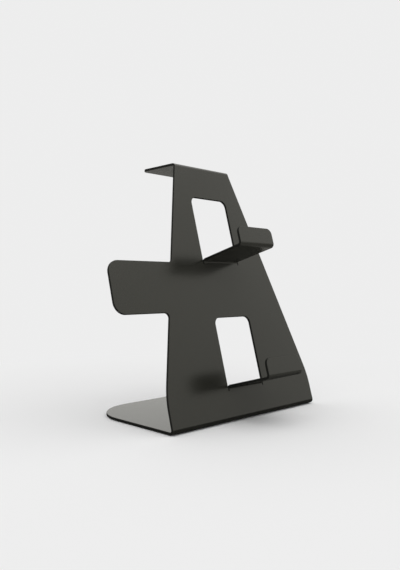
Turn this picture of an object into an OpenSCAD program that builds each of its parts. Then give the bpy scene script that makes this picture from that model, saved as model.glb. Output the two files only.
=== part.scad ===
// Controller stand folded from one sheet of steel, on four thin rubber pads.
// X runs across the stand, Y runs from its front to its back, Z is up.
// The origin is on the table, under the middle of the base.

/* [Sheet] */
// Thickness of the coated steel sheet
sheet_t = 2.5; // [1.5:0.1:4]
// Inside radius of every fold
bend_r = 1.5; // [0.5:0.1:3]

/* [Base] */
// Width of the base and of the foot of the front plate
base_w = 200; // [170:1:240]
// Depth from the front corner line to the back edge
base_depth = 128; // [115:1:160]
// Radius of the two back corners
base_corner_r = 48; // [10:1:60]

/* [Front plate] */
// Angle by which the plate leans back from upright
lean_deg = 15.5; // [8:0.5:22]
// Length up the slope, from the bottom corner line to the top corner line
plate_len = 255.5; // [240:0.5:300]
// Height up the slope at which the sides turn inwards
side_h = 31.5; // [20:0.5:45]
// Radius that blends the upright side into the tapered side
side_blend_r = 86; // [20:1:110]
// Width of the plate where the top fold starts
top_w = 77; // [60:1:110]

/* [Top rest] */
// Depth of the level rest, from the top corner line to its back edge
rest_depth = 50; // [30:1:60]
// Radius of the two back corners of the rest
rest_corner_r = 6; // [2:0.5:12]

/* [Side arm] */
// Distance of the arm's end from the middle of the stand
arm_reach = 138.5; // [115:0.5:160]
// Height of the arm, measured up the slope
arm_h = 47.5; // [30:0.5:60]
// Middle of the arm, measured up the slope
arm_mid = 128.7; // [110:0.1:150]
// Radius of the arm's two free corners
arm_corner_r = 11; // [3:0.5:14]
// Radius of the inside corners where the arm leaves the plate
arm_root_r = 4; // [1:0.5:8]

/* [Cradles] */
// Width of each cradle
cradle_w = 48; // [35:0.5:60]
// Depth of each cradle, from the plate to the face of its lip
cradle_depth = 50.5; // [35:0.5:60]
// Height of the lip above the underside of the shelf
lip_h = 18.5; // [12:0.5:25]
// Radius of the lip's two top corners
lip_corner_r = 6; // [1:0.5:7]
// Underside of the lower shelf, measured up the slope
low_cradle_s = 31.5; // [24:0.5:50]
// Distance up the slope from the lower cradle to the upper one
cradle_pitch = 123; // [110:0.5:130]
// Width of the cut that frees each cradle from the plate
cut_gap = 0.8; // [0.4:0.1:1.5]
// Length by which the side cuts run on below each cradle's fold
cut_relief = 1.5; // [0.5:0.1:3]

/* [Pads] */
// Diameter of each pad
pad_d = 14; // [8:1:20]
// Thickness of each pad
pad_t = 0.6; // [0.5:0.1:2]
// Clear distance from a pad to the edge of the base
pad_edge = 9; // [3:0.5:16]

/* [Hidden] */
$fn = 96;

steel_colour = [0.10, 0.10, 0.10];
rubber_colour = [0.05, 0.05, 0.055];

// Outside radius of a fold
fold_r = bend_r + sheet_t;
// Angles through which the sheet turns at the floor and at the top
foot_turn = 90 + lean_deg;
top_turn = 90 - lean_deg;
// Distance from a corner line to the start of its fold
foot_tangent = fold_r * tan(foot_turn / 2);
top_tangent = fold_r * tan(top_turn / 2);
// Slope length at which the top fold starts
plate_end = plate_len - top_tangent;
// Angle of the tapered sides from the plate's middle line
taper_deg = atan((base_w - top_w) / 2 / (plate_end - side_h));

// Blank length of one fold of a cradle, along the sheet's neutral line
neutral_share = 0.4;
fold_blank = (bend_r + neutral_share * sheet_t) * PI / 2;
shelf_flat = cradle_depth - fold_r - bend_r;
lip_flat = lip_h - fold_r;
// Bottom and top of the window that a cradle leaves, up the slope from the
// underside of its shelf
window_foot = -bend_r - cut_relief;
window_top = -bend_r + 2 * fold_blank + shelf_flat + lip_flat + cut_gap;
cradle_lines = [low_cradle_s, low_cradle_s + cradle_pitch];

// Length by which a cutting or joining shape runs past what it meets
spill = 3;
// The same for a corner piece, past the two edges that it rounds
lap = 0.5;
// Amount by which a rounding circle crosses the edges that it touches
touch = 0.002;

function along(angle) = [cos(angle), sin(angle)];
function half_width(s) = top_w / 2 + (plate_end - s) * tan(taper_deg);

// The piece between two edges that leave p at angles a and b, and the arc of
// radius r that touches both. Taken off, it rounds a corner. Added, it fills one.
module corner_piece(p, a, b, r) {
    half = abs(b - a) / 2;
    middle = along((a + b) / 2);
    side = r / tan(half) + lap / cos(half);
    tip = p - lap * middle;
    difference() {
        polygon([tip, tip + side * along(a), tip + side * along(b)]);
        translate(p + r / sin(half) * middle)
            circle(r = r + touch);
    }
}

// Outline in the YZ plane pulled out to a bar along X
module along_x(width) {
    rotate([90, 0, 90])
        linear_extrude(width, center = true)
            children();
}

// Turns the XY plane into the plane of the plate: Y runs up the slope and
// Z points forward out of the plate's face
module on_slope() {
    rotate([90 - lean_deg, 0, 0])
        children();
}

// The folded sheet seen from the side: X is up the slope from the bottom corner
// line, Y is forward from the plate's face
module side_profile() {
    back = along(lean_deg - 90);
    up = along(lean_deg);
    foot_fold = [foot_tangent, -fold_r];
    top_fold = [plate_end, -fold_r];
    top_corner = [plate_len, 0];
    difference() {
        polygon([
            [0, 0], base_depth * back, base_depth * back + sheet_t * up,
            foot_fold - bend_r * up, [foot_tangent, -sheet_t],
            [plate_end, -sheet_t], top_fold + bend_r * up,
            top_corner + rest_depth * back - sheet_t * up,
            top_corner + rest_depth * back, top_corner
        ]);
        for (centre = [foot_fold, top_fold])
            translate(centre)
                circle(r = bend_r + touch);
        corner_piece([0, 0], lean_deg - 90, 0, fold_r);
        corner_piece(top_corner, 180, 270 + lean_deg, fold_r);
    }
}

module round_backed(width, depth, r) {
    difference() {
        translate([-width / 2, -spill])
            square([width, depth + spill]);
        corner_piece([width / 2, depth], 180, 270, r);
        corner_piece([-width / 2, depth], 270, 360, r);
    }
}

module tapered_outline() {
    foot = base_w / 2;
    head = top_w / 2;
    high = plate_end + spill;
    difference() {
        polygon([
            [-foot, foot_tangent], [foot, foot_tangent], [foot, side_h],
            [head, plate_end], [head, high], [-head, high],
            [-head, plate_end], [-foot, side_h]
        ]);
        corner_piece([foot, side_h], 90 + taper_deg, 270, side_blend_r);
        corner_piece([-foot, side_h], -90, 90 - taper_deg, side_blend_r);
    }
}

// Side arm, reaching in under the tapered outline, and its two root fillets
module arm_outline() {
    low = arm_mid - arm_h / 2;
    high = arm_mid + arm_h / 2;
    difference() {
        translate([-arm_reach, low])
            square([arm_reach - top_w / 2, arm_h]);
        corner_piece([-arm_reach, low], 0, 90, arm_corner_r);
        corner_piece([-arm_reach, high], -90, 0, arm_corner_r);
    }
    corner_piece([-half_width(low), low], 180, 270 - taper_deg, arm_root_r);
    corner_piece([-half_width(high), high], 90 - taper_deg, 180, arm_root_r);
}

// Opening that a cradle leaves in the plate, measured as the cradle is
module window_outline() {
    half = cradle_w / 2 + cut_gap;
    r = lip_corner_r + cut_gap;
    difference() {
        translate([-half, window_foot])
            square([2 * half, window_top - window_foot]);
        corner_piece([half, window_top], 180, 270, r);
        corner_piece([-half, window_top], 270, 360, r);
    }
}

module plate_outline() {
    difference() {
        union() {
            tapered_outline();
            arm_outline();
        }
        for (s = cradle_lines)
            translate([0, s])
                window_outline();
    }
}

// A cradle seen from the side: X is up the slope from the underside of the
// shelf, Y is forward from the plate's face
module cradle_profile() {
    difference() {
        polygon([
            [window_foot - spill, -sheet_t], [window_foot - spill, 0],
            [-bend_r, 0], [0, bend_r],
            [0, cradle_depth], [lip_h, cradle_depth],
            [lip_h, cradle_depth - sheet_t],
            [fold_r, cradle_depth - sheet_t],
            [sheet_t, cradle_depth - fold_r], [sheet_t, -sheet_t]
        ]);
        translate([-bend_r, bend_r])
            circle(r = bend_r + touch);
        translate([fold_r, cradle_depth - fold_r])
            circle(r = bend_r + touch);
        corner_piece([0, cradle_depth], 270, 360, fold_r);
        corner_piece([sheet_t, -sheet_t], 90, 180, fold_r);
    }
}

module cradle() {
    difference() {
        along_x(cradle_w)
            cradle_profile();
        translate([0, 0, cradle_depth - sheet_t - spill])
            linear_extrude(sheet_t + 2 * spill) {
                corner_piece([cradle_w / 2, lip_h], 180, 270, lip_corner_r);
                corner_piece([-cradle_w / 2, lip_h], 270, 360, lip_corner_r);
            }
    }
}

// Room for the base and its fold, the plate, and the top fold and rest
module cut_blank() {
    translate([0, 0, -spill])
        linear_extrude(foot_tangent + 2 * spill)
            round_backed(base_w, base_depth, base_corner_r);
    on_slope()
        translate([0, 0, -sheet_t - spill])
            linear_extrude(sheet_t + 2 * spill)
                plate_outline();
    top_y = plate_len * sin(lean_deg);
    top_z = plate_len * cos(lean_deg);
    translate([0, top_y, top_z - fold_r - spill])
        linear_extrude(fold_r + 2 * spill)
            round_backed(top_w, rest_depth, rest_corner_r);
}

module folded_stand() {
    color(steel_colour)
        translate([0, -base_depth / 2, pad_t]) {
            intersection() {
                on_slope()
                    along_x(2 * arm_reach + 2 * spill)
                        side_profile();
                cut_blank();
            }
            on_slope()
                for (s = cradle_lines)
                    translate([0, s, 0])
                        cradle();
        }
}

// side is -1 for left and 1 for right
module front_pad(side) {
    in = pad_edge + pad_d / 2;
    color(rubber_colour)
        translate([side * (base_w / 2 - in), -base_depth / 2 + foot_tangent + in, 0])
            cylinder(d = pad_d, h = pad_t);
}

module rear_pad(side) {
    out = (base_corner_r - pad_edge - pad_d / 2) / sqrt(2) - base_corner_r;
    color(rubber_colour)
        translate([side * (base_w / 2 + out), base_depth / 2 + out, 0])
            cylinder(d = pad_d, h = pad_t);
}

folded_stand();
front_pad(-1);  // pad_front_left
front_pad(1);  // pad_front_right
rear_pad(-1);  // pad_rear_left
rear_pad(1);  // pad_rear_right
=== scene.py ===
"""Looks of the controller stand: powder coat, cut edges, rubber pads, floor, light and camera."""

import math

import bpy
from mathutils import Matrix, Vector
from mathutils.bvhtree import BVHTree


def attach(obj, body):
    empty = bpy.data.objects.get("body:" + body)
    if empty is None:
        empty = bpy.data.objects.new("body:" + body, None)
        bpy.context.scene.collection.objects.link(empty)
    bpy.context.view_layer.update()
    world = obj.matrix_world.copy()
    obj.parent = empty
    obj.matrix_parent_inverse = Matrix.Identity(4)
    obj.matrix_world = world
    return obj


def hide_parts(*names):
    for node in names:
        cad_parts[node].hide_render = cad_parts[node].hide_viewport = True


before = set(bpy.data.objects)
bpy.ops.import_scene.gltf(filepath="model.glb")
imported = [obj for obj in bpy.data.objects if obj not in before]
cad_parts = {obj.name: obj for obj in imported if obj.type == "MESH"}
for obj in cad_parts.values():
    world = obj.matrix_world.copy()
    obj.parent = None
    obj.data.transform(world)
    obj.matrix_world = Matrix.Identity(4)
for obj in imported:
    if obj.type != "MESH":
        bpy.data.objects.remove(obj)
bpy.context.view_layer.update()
PADS = [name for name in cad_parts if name.startswith("pad_")]

# Lengths are in metres, but the lens and its sensor in millimetres. The camera's
# angles are in degrees. Colours are linear.

# The camera stands level with the middle of the plate, to the left of the front
CAMERA_PLACE = (-0.4254, -0.4263, 0.1256)
CAMERA_TURN = -44.46
CAMERA_TILT = 90.07
SENSOR_W = 36.0
LENS = 37.1
CLIP_NEAR = 0.01
CLIP_FAR = 50.0

# Rounding of the sheet's cut edges under their coat
COATED_EDGE_R = 0.0004
COATED_EDGE_STEPS = 3
# Rounding of the rubber pads' rims
PAD_RIM_R = 0.00015
PAD_RIM_STEPS = 2
# An edge sharper than this is a cut edge, and any other is part of a fold
CUT_ANGLE = math.radians(30)
# Triangles that turn by less than this from their neighbours become one face
FLAT_ANGLE = math.radians(0.3)
# Vertices closer than this are one
MERGE_GAP = 0.00001
# Straight through the sheet it is 2.5 mm to the far side. A face with more metal
# than this behind it is a cut edge.
THROUGH_SHEET = 0.003
# Highest weight, so that at a corner the shading follows the large flat faces
FLAT_FACE_WEIGHT = 100
# Place of the cut edge's coat among the sheet's materials
EDGE_COAT_INDEX = 1

# Powder grain: detail of its lumps and specks, and the heights between which its
# mask of high spots goes from none to full
LUMP_DETAIL = 2.0
SPECK_DETAIL = 1.0
MASK_START = 0.35
MASK_FULL = 0.65
# Slow change of gloss over the sheet
CLOUD_DETAIL = 3.0
CLOUD_SIZE = 0.05

# Width of the coat's lumps on the faces and on the cut edges
FACE_LUMP = 0.0008
EDGE_LUMP = 0.0005
# Specks across one lump, their share in the height, and the height by the width
SPECKS_PER_LUMP = 3
COAT_SPECK_SHARE = 0.4
HEIGHT_BY_WIDTH = 0.055
# Lowest and highest roughness, and the strength of the gloss
FACE_ROUGH = (0.19, 0.22)
EDGE_ROUGH = (0.6, 0.7)
FACE_SPECULAR = 0.5
EDGE_SPECULAR = 0.08
COAT_DARK = (0.014, 0.014, 0.011)
COAT_PALE = (0.018, 0.018, 0.0145)
# Partly painted shade: the cut edges' coat is darker than the faces' so that the edges keep the
# dark outline that shade gives them
EDGE_DARK = (0.009, 0.009, 0.008)
EDGE_PALE = (0.014, 0.014, 0.0125)
# The coat's own reflection is faintly warm
COAT_GLOSS_TINT = (1.0, 0.99, 0.92)

RUBBER = (0.012, 0.012, 0.013)
# Dusty rubber is paler by this factor
DUST = 1.6
RUBBER_ROUGH = 0.8
RUBBER_GRAIN = {"Lump size": 0.0006, "Speck size": 0.0002, "Speck share": 0.6}
RUBBER_GRAIN_HEIGHT = 0.0001
RUBBER_GRAIN_STRENGTH = 0.5

FLOOR = (0.88, 0.88, 0.88)
FLOOR_ROUGH = 0.9
FLOOR_SPECULAR = 0.1
FLOOR_R = 6.0
FLOOR_SIDES = 96
BACKGROUND = (0.85, 0.85, 0.85)
# The floor turns into the plain background between these distances
FLOOR_NEAR = 0.18
FLOOR_FAR = 0.48

# Even light from all round
AROUND = (0.62, 0.62, 0.62)
# One large softbox above the front, aimed at the middle of the stand
SOFTBOX_PLACE = (-0.05, -0.4, 1.75)
SOFTBOX_AIM = (0, 0, 0.12)
SOFTBOX_SIZE = 3.0
SOFTBOX_WATTS = 22

# Backdrop and floor as the coat mirrors them: in the photo the coat's gloss is
# white above the floor, and dark below, darkest beside the stand
BACKDROP_IN_GLOSS = (0.975, 0.97, 0.93)
LOW_FRONT_IN_GLOSS = (0.67, 0.665, 0.635)
# Sine of the height above the horizon at which the front reaches the full tone
FRONT_FULL_AT = 0.45
# Y of a mirrored direction where the front starts, and where it is full
FRONT_START = 0.1
FRONT_WHOLE = -0.3
# Painted reflection and painted shade: glossy rays see the floor glow in these tones, darkest
# beside the base where the stand shades it
NEAR_FLOOR_SHADE_IN_GLOSS = (0.03, 0.03, 0.03)
FAR_FLOOR_IN_GLOSS = (0.275, 0.27, 0.25)
# Half the base, and the distance from it over which the painted shade in the mirrored floor fades
# to its paler tone
HALF_BASE = (0.1, 0.064, 0.0)
GLOSS_FADE = 0.13


def deselect_all():
    bpy.ops.object.select_all(action="DESELECT")


def make_active(piece):
    deselect_all()
    piece.select_set(True)
    bpy.context.view_layer.objects.active = piece


def new_group(name, inputs, outputs):
    """An empty node group whose sockets are all plain values."""
    group = bpy.data.node_groups.new(name, "ShaderNodeTree")
    for socket in inputs:
        group.interface.new_socket(socket, in_out="INPUT", socket_type="NodeSocketFloat")
    for socket in outputs:
        group.interface.new_socket(socket, in_out="OUTPUT", socket_type="NodeSocketFloat")
    enter = group.nodes.new("NodeGroupInput")
    leave = group.nodes.new("NodeGroupOutput")
    return group, enter, leave


def noise_of(group, size, detail):
    """Noise on the piece's own coordinates, with lumps about as wide as size."""
    nodes, links = group.nodes, group.links
    place = nodes.new("ShaderNodeTexCoord")
    scale = nodes.new("ShaderNodeMath")
    scale.operation = "DIVIDE"
    scale.inputs[0].default_value = 1.0
    links.new(size, scale.inputs[1])
    noise = nodes.new("ShaderNodeTexNoise")
    noise.inputs["Detail"].default_value = detail
    links.new(place.outputs["Object"], noise.inputs["Vector"])
    links.new(scale.outputs[0], noise.inputs["Scale"])
    return noise.outputs["Fac"]


def map_range(nodes, links, value, start=0.0, end=1.0, low=0.0, high=1.0, smooth=False):
    """A value that runs from low to high as the given one runs from start to end."""
    ramp = nodes.new("ShaderNodeMapRange")
    if smooth:
        ramp.interpolation_type = "SMOOTHSTEP"
    ramp.inputs["From Min"].default_value = start
    ramp.inputs["From Max"].default_value = end
    ramp.inputs["To Min"].default_value = low
    ramp.inputs["To Max"].default_value = high
    links.new(value, ramp.inputs["Value"])
    return ramp.outputs["Result"]


def grain_group():
    """Fine lumps of a powder coat: a height, and a mask of its high spots."""
    sizes = ("Lump size", "Speck size", "Speck share")
    group, enter, leave = new_group("powder_grain", sizes, ("Height", "Mask"))
    nodes, links = group.nodes, group.links
    blend = nodes.new("ShaderNodeMix")
    blend.data_type = "FLOAT"
    links.new(enter.outputs["Speck share"], blend.inputs["Factor"])
    links.new(noise_of(group, enter.outputs["Lump size"], LUMP_DETAIL), blend.inputs["A"])
    links.new(noise_of(group, enter.outputs["Speck size"], SPECK_DETAIL), blend.inputs["B"])
    height = blend.outputs["Result"]
    links.new(height, leave.inputs["Height"])
    links.new(map_range(nodes, links, height, MASK_START, MASK_FULL), leave.inputs["Mask"])
    return group


def cloud_group():
    """Slow, faint change over a surface, such as a coat that lies thicker in places."""
    group, enter, leave = new_group("slow_cloud", ("Cloud size",), ("Mask",))
    cloud = noise_of(group, enter.outputs["Cloud size"], CLOUD_DETAIL)
    group.links.new(cloud, leave.inputs["Mask"])
    return group


GRAIN = grain_group()
CLOUD = cloud_group()


def new_material(name):
    material = bpy.data.materials.new(name)
    material.use_nodes = True
    nodes = material.node_tree.nodes
    shader = nodes["Principled BSDF"]
    return material, nodes, material.node_tree.links, shader


def add_group(nodes, group, values):
    node = nodes.new("ShaderNodeGroup")
    node.node_tree = group
    for name, value in values.items():
        node.inputs[name].default_value = value
    return node


def colour_between(nodes, links, factor, low, high):
    mix = nodes.new("ShaderNodeMix")
    mix.data_type = "RGBA"
    mix.inputs["A"].default_value = (*low, 1.0)
    mix.inputs["B"].default_value = (*high, 1.0)
    links.new(factor, mix.inputs["Factor"])
    return mix.outputs["Result"]


def bump_from(nodes, links, height, distance, shader, strength=1.0):
    bump = nodes.new("ShaderNodeBump")
    bump.inputs["Strength"].default_value = strength
    bump.inputs["Distance"].default_value = distance
    links.new(height, bump.inputs["Height"])
    links.new(bump.outputs["Normal"], shader.inputs["Normal"])


def coat(name, lump, rough, specular, dark, pale):
    """Charcoal powder coat with a fine, even lump."""
    material, nodes, links, shader = new_material(name)
    sizes = {
        "Lump size": lump,
        "Speck size": lump / SPECKS_PER_LUMP,
        "Speck share": COAT_SPECK_SHARE,
    }
    grain = add_group(nodes, GRAIN, sizes)
    cloud = add_group(nodes, CLOUD, {"Cloud size": CLOUD_SIZE})
    tone = colour_between(nodes, links, grain.outputs["Mask"], dark, pale)
    smoothest, roughest = rough
    gloss = map_range(nodes, links, cloud.outputs["Mask"], low=smoothest, high=roughest)
    links.new(tone, shader.inputs["Base Color"])
    links.new(gloss, shader.inputs["Roughness"])
    bump_from(nodes, links, grain.outputs["Height"], HEIGHT_BY_WIDTH * lump, shader)
    shader.inputs["Specular IOR Level"].default_value = specular
    shader.inputs["Specular Tint"].default_value = (*COAT_GLOSS_TINT, 1.0)
    return material


def face_coat():
    """The satin coat on the rolled faces of the sheet."""
    return coat("powder_coat", FACE_LUMP, FACE_ROUGH, FACE_SPECULAR, COAT_DARK, COAT_PALE)


def edge_coat():
    """The same coat where it lies thinner and duller over the cut edges, and darker there, partly
    as painted shade.
    """
    name = "powder_coat_on_cut_edge"
    return coat(name, EDGE_LUMP, EDGE_ROUGH, EDGE_SPECULAR, EDGE_DARK, EDGE_PALE)


def pad_rubber():
    """Matt black rubber, a little dusty."""
    material, nodes, links, shader = new_material("pad_rubber")
    grain = add_group(nodes, GRAIN, RUBBER_GRAIN)
    dusty = tuple(DUST * channel for channel in RUBBER)
    tone = colour_between(nodes, links, grain.outputs["Mask"], RUBBER, dusty)
    links.new(tone, shader.inputs["Base Color"])
    shader.inputs["Roughness"].default_value = RUBBER_ROUGH
    height = grain.outputs["Height"]
    bump_from(nodes, links, height, RUBBER_GRAIN_HEIGHT, shader, RUBBER_GRAIN_STRENGTH)
    return material


def merged_copy(node, finish):
    """A copy of a CAD node, named for its finish, with its triangles joined at their corners."""
    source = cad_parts[node]
    piece = source.copy()
    piece.data = source.data.copy()
    piece.name = node + "_" + finish
    piece.data.name = piece.name
    bpy.context.scene.collection.objects.link(piece)
    piece.parent = None
    make_active(piece)
    bpy.ops.object.mode_set(mode="EDIT")
    bpy.ops.mesh.select_all(action="SELECT")
    bpy.ops.mesh.remove_doubles(threshold=MERGE_GAP)
    bpy.ops.mesh.dissolve_limited(angle_limit=FLAT_ANGLE)
    bpy.ops.object.mode_set(mode="OBJECT")
    return piece


def round_cut_edges(piece, name, radius, steps):
    """Rounds the sharp edges of the active piece. Its folds stay as they are."""
    bevel = piece.modifiers.new(name, "BEVEL")
    bevel.width = radius
    bevel.segments = steps
    bevel.limit_method = "ANGLE"
    bevel.angle_limit = CUT_ANGLE
    bpy.ops.object.modifier_apply(modifier=bevel.name)


def cut_edge_faces(piece):
    """The faces from which it is a long way through the metal to the far side."""
    mesh = piece.data
    mesh.calc_loop_triangles()
    corners = [vertex.co for vertex in mesh.vertices]
    triangles = [tuple(triangle.vertices) for triangle in mesh.loop_triangles]
    tree = BVHTree.FromPolygons(corners, triangles)
    largest = {}
    for triangle in mesh.loop_triangles:
        best = largest.get(triangle.polygon_index)
        if best is None or triangle.area > best.area:
            largest[triangle.polygon_index] = triangle
    found = []
    for index, triangle in largest.items():
        inwards = -triangle.normal
        start = Vector(triangle.center) + inwards * MERGE_GAP
        *_, distance = tree.ray_cast(start, inwards)
        if distance is None or distance > THROUGH_SHEET:
            found.append(index)
    return found


def coated_stand():
    """The folded sheet, with the soft edges that a powder coat leaves on cut steel."""
    piece = merged_copy("folded_stand", "coated")
    round_cut_edges(piece, "coated_edge", COATED_EDGE_R, COATED_EDGE_STEPS)
    bpy.ops.object.shade_smooth()
    level = piece.modifiers.new("flat_faces", "WEIGHTED_NORMAL")
    level.weight = FLAT_FACE_WEIGHT
    bpy.ops.object.modifier_apply(modifier=level.name)
    piece.data.materials.clear()
    piece.data.materials.append(face_coat())
    piece.data.materials.append(edge_coat())
    for index in cut_edge_faces(piece):
        piece.data.polygons[index].material_index = EDGE_COAT_INDEX
    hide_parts("folded_stand")
    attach(piece, "root")


def rounded_pads():
    """The rubber pads, with the soft rim of a die-cut disc."""
    material = pad_rubber()
    for name in PADS:
        pad = merged_copy(name, "rounded")
        round_cut_edges(pad, "soft_rim", PAD_RIM_R, PAD_RIM_STEPS)
        bpy.ops.object.shade_smooth_by_angle(angle=CUT_ANGLE)
        pad.data.materials.clear()
        pad.data.materials.append(material)
        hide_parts(name)
        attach(pad, "root")


def emission(nodes, colour):
    shader = nodes.new("ShaderNodeEmission")
    shader.inputs["Color"].default_value = (*colour, 1.0)
    return shader.outputs[0]


def mix_shaders(nodes, links, factor, first, second):
    mix = nodes.new("ShaderNodeMixShader")
    links.new(factor, mix.inputs[0])
    links.new(first, mix.inputs[1])
    links.new(second, mix.inputs[2])
    return mix.outputs[0]


def product(nodes, links, first, second):
    times = nodes.new("ShaderNodeMath")
    times.operation = "MULTIPLY"
    links.new(first, times.inputs[0])
    links.new(second, times.inputs[1])
    return times.outputs[0]


def vector_step(nodes, links, operation, vector, other=(0.0, 0.0, 0.0)):
    step = nodes.new("ShaderNodeVectorMath")
    step.operation = operation
    links.new(vector, step.inputs[0])
    step.inputs[1].default_value = other
    return step


def floor_tone(nodes, links, place, shader, camera_ray):
    """The floor as the camera sees it: it runs out into the background."""
    reach = vector_step(nodes, links, "LENGTH", place).outputs["Value"]
    fade = map_range(nodes, links, reach, FLOOR_NEAR, FLOOR_FAR, smooth=True)
    share = product(nodes, links, fade, camera_ray)
    return mix_shaders(nodes, links, share, shader, emission(nodes, BACKGROUND))


def painted_floor_reflection(nodes, links, place):
    """The floor as the coat mirrors it, as a painted reflection: painted shade dark beside the
    base, and paler further off.
    """
    aside = vector_step(nodes, links, "ABSOLUTE", place).outputs["Vector"]
    beyond = vector_step(nodes, links, "SUBTRACT", aside, HALF_BASE).outputs["Vector"]
    outside = vector_step(nodes, links, "MAXIMUM", beyond).outputs["Vector"]
    gap = vector_step(nodes, links, "LENGTH", outside).outputs["Value"]
    shade_fading = map_range(nodes, links, gap, end=GLOSS_FADE, smooth=True)
    near, far = emission(nodes, NEAR_FLOOR_SHADE_IN_GLOSS), emission(nodes, FAR_FLOOR_IN_GLOSS)
    return mix_shaders(nodes, links, shade_fading, near, far)


def floor_material():
    """Pale matt floor that takes the stand's soft shadow."""
    material, nodes, links, shader = new_material("plain_floor")
    shader.inputs["Base Color"].default_value = (*FLOOR, 1.0)
    shader.inputs["Roughness"].default_value = FLOOR_ROUGH
    shader.inputs["Specular IOR Level"].default_value = FLOOR_SPECULAR
    place = nodes.new("ShaderNodeTexCoord").outputs["Object"]
    path = nodes.new("ShaderNodeLightPath")
    camera_ray, glossy_ray = path.outputs["Is Camera Ray"], path.outputs["Is Glossy Ray"]
    seen = floor_tone(nodes, links, place, shader.outputs[0], camera_ray)
    # Glossy rays see a painted reflection of the floor instead, with painted shade beside the
    # base
    painted_reflection = painted_floor_reflection(nodes, links, place)
    final = mix_shaders(nodes, links, glossy_ray, seen, painted_reflection)
    links.new(final, nodes["Material Output"].inputs["Surface"])
    return material


def add_floor():
    deselect_all()
    bpy.ops.mesh.primitive_circle_add(vertices=FLOOR_SIDES, radius=FLOOR_R, fill_type="NGON")
    floor = bpy.context.object
    floor.name = "floor"
    floor.data.materials.append(floor_material())


def add_light():
    light = bpy.data.lights.new("top_light", "AREA")
    light.shape = "RECTANGLE"
    light.size = light.size_y = SOFTBOX_SIZE
    light.energy = SOFTBOX_WATTS
    lamp = bpy.data.objects.new("top_light", light)
    bpy.context.scene.collection.objects.link(lamp)
    lamp.location = SOFTBOX_PLACE
    beam = Vector(SOFTBOX_AIM) - Vector(SOFTBOX_PLACE)
    lamp.rotation_euler = beam.to_track_quat("-Z", "Y").to_euler()


def backdrop(nodes, colour):
    shader = nodes.new("ShaderNodeBackground")
    shader.inputs["Color"].default_value = (*colour, 1.0)
    return shader.outputs[0]


def mirrored_backdrop(nodes, links):
    """The backdrop as the coat mirrors it: it darkens low down in front of the stand."""
    place = nodes.new("ShaderNodeTexCoord")
    axes = nodes.new("ShaderNodeSeparateXYZ")
    links.new(place.outputs["Generated"], axes.inputs[0])
    height, back = axes.outputs["Z"], axes.outputs["Y"]
    low_down = map_range(nodes, links, height, end=FRONT_FULL_AT, low=1.0, high=0.0, smooth=True)
    in_front = map_range(nodes, links, back, FRONT_START, FRONT_WHOLE, smooth=True)
    dim = product(nodes, links, low_down, in_front)
    bright, dull = backdrop(nodes, BACKDROP_IN_GLOSS), backdrop(nodes, LOW_FRONT_IN_GLOSS)
    return mix_shaders(nodes, links, dim, bright, dull)


def add_world():
    """Even soft light all round, and a pale backdrop where the camera or a gloss sees it."""
    world = bpy.data.worlds.new("studio")
    bpy.context.scene.world = world
    world.use_nodes = True
    nodes, links = world.node_tree.nodes, world.node_tree.links
    nodes.clear()
    path = nodes.new("ShaderNodeLightPath")
    camera_ray, glossy_ray = path.outputs["Is Camera Ray"], path.outputs["Is Glossy Ray"]
    gloss = mirrored_backdrop(nodes, links)
    lit = mix_shaders(nodes, links, glossy_ray, backdrop(nodes, AROUND), gloss)
    seen = mix_shaders(nodes, links, camera_ray, lit, backdrop(nodes, BACKGROUND))
    out = nodes.new("ShaderNodeOutputWorld")
    links.new(seen, out.inputs["Surface"])


def add_camera():
    data = bpy.data.cameras.new("camera")
    data.lens = LENS
    data.sensor_width = SENSOR_W
    data.clip_start = CLIP_NEAR
    data.clip_end = CLIP_FAR
    camera = bpy.data.objects.new("camera", data)
    bpy.context.scene.collection.objects.link(camera)
    camera.location = CAMERA_PLACE
    camera.rotation_euler = (math.radians(CAMERA_TILT), 0.0, math.radians(CAMERA_TURN))
    bpy.context.scene.camera = camera


bpy.context.scene.view_settings.view_transform = "Standard"
add_camera()
coated_stand()
rounded_pads()
add_floor()
add_light()
add_world()
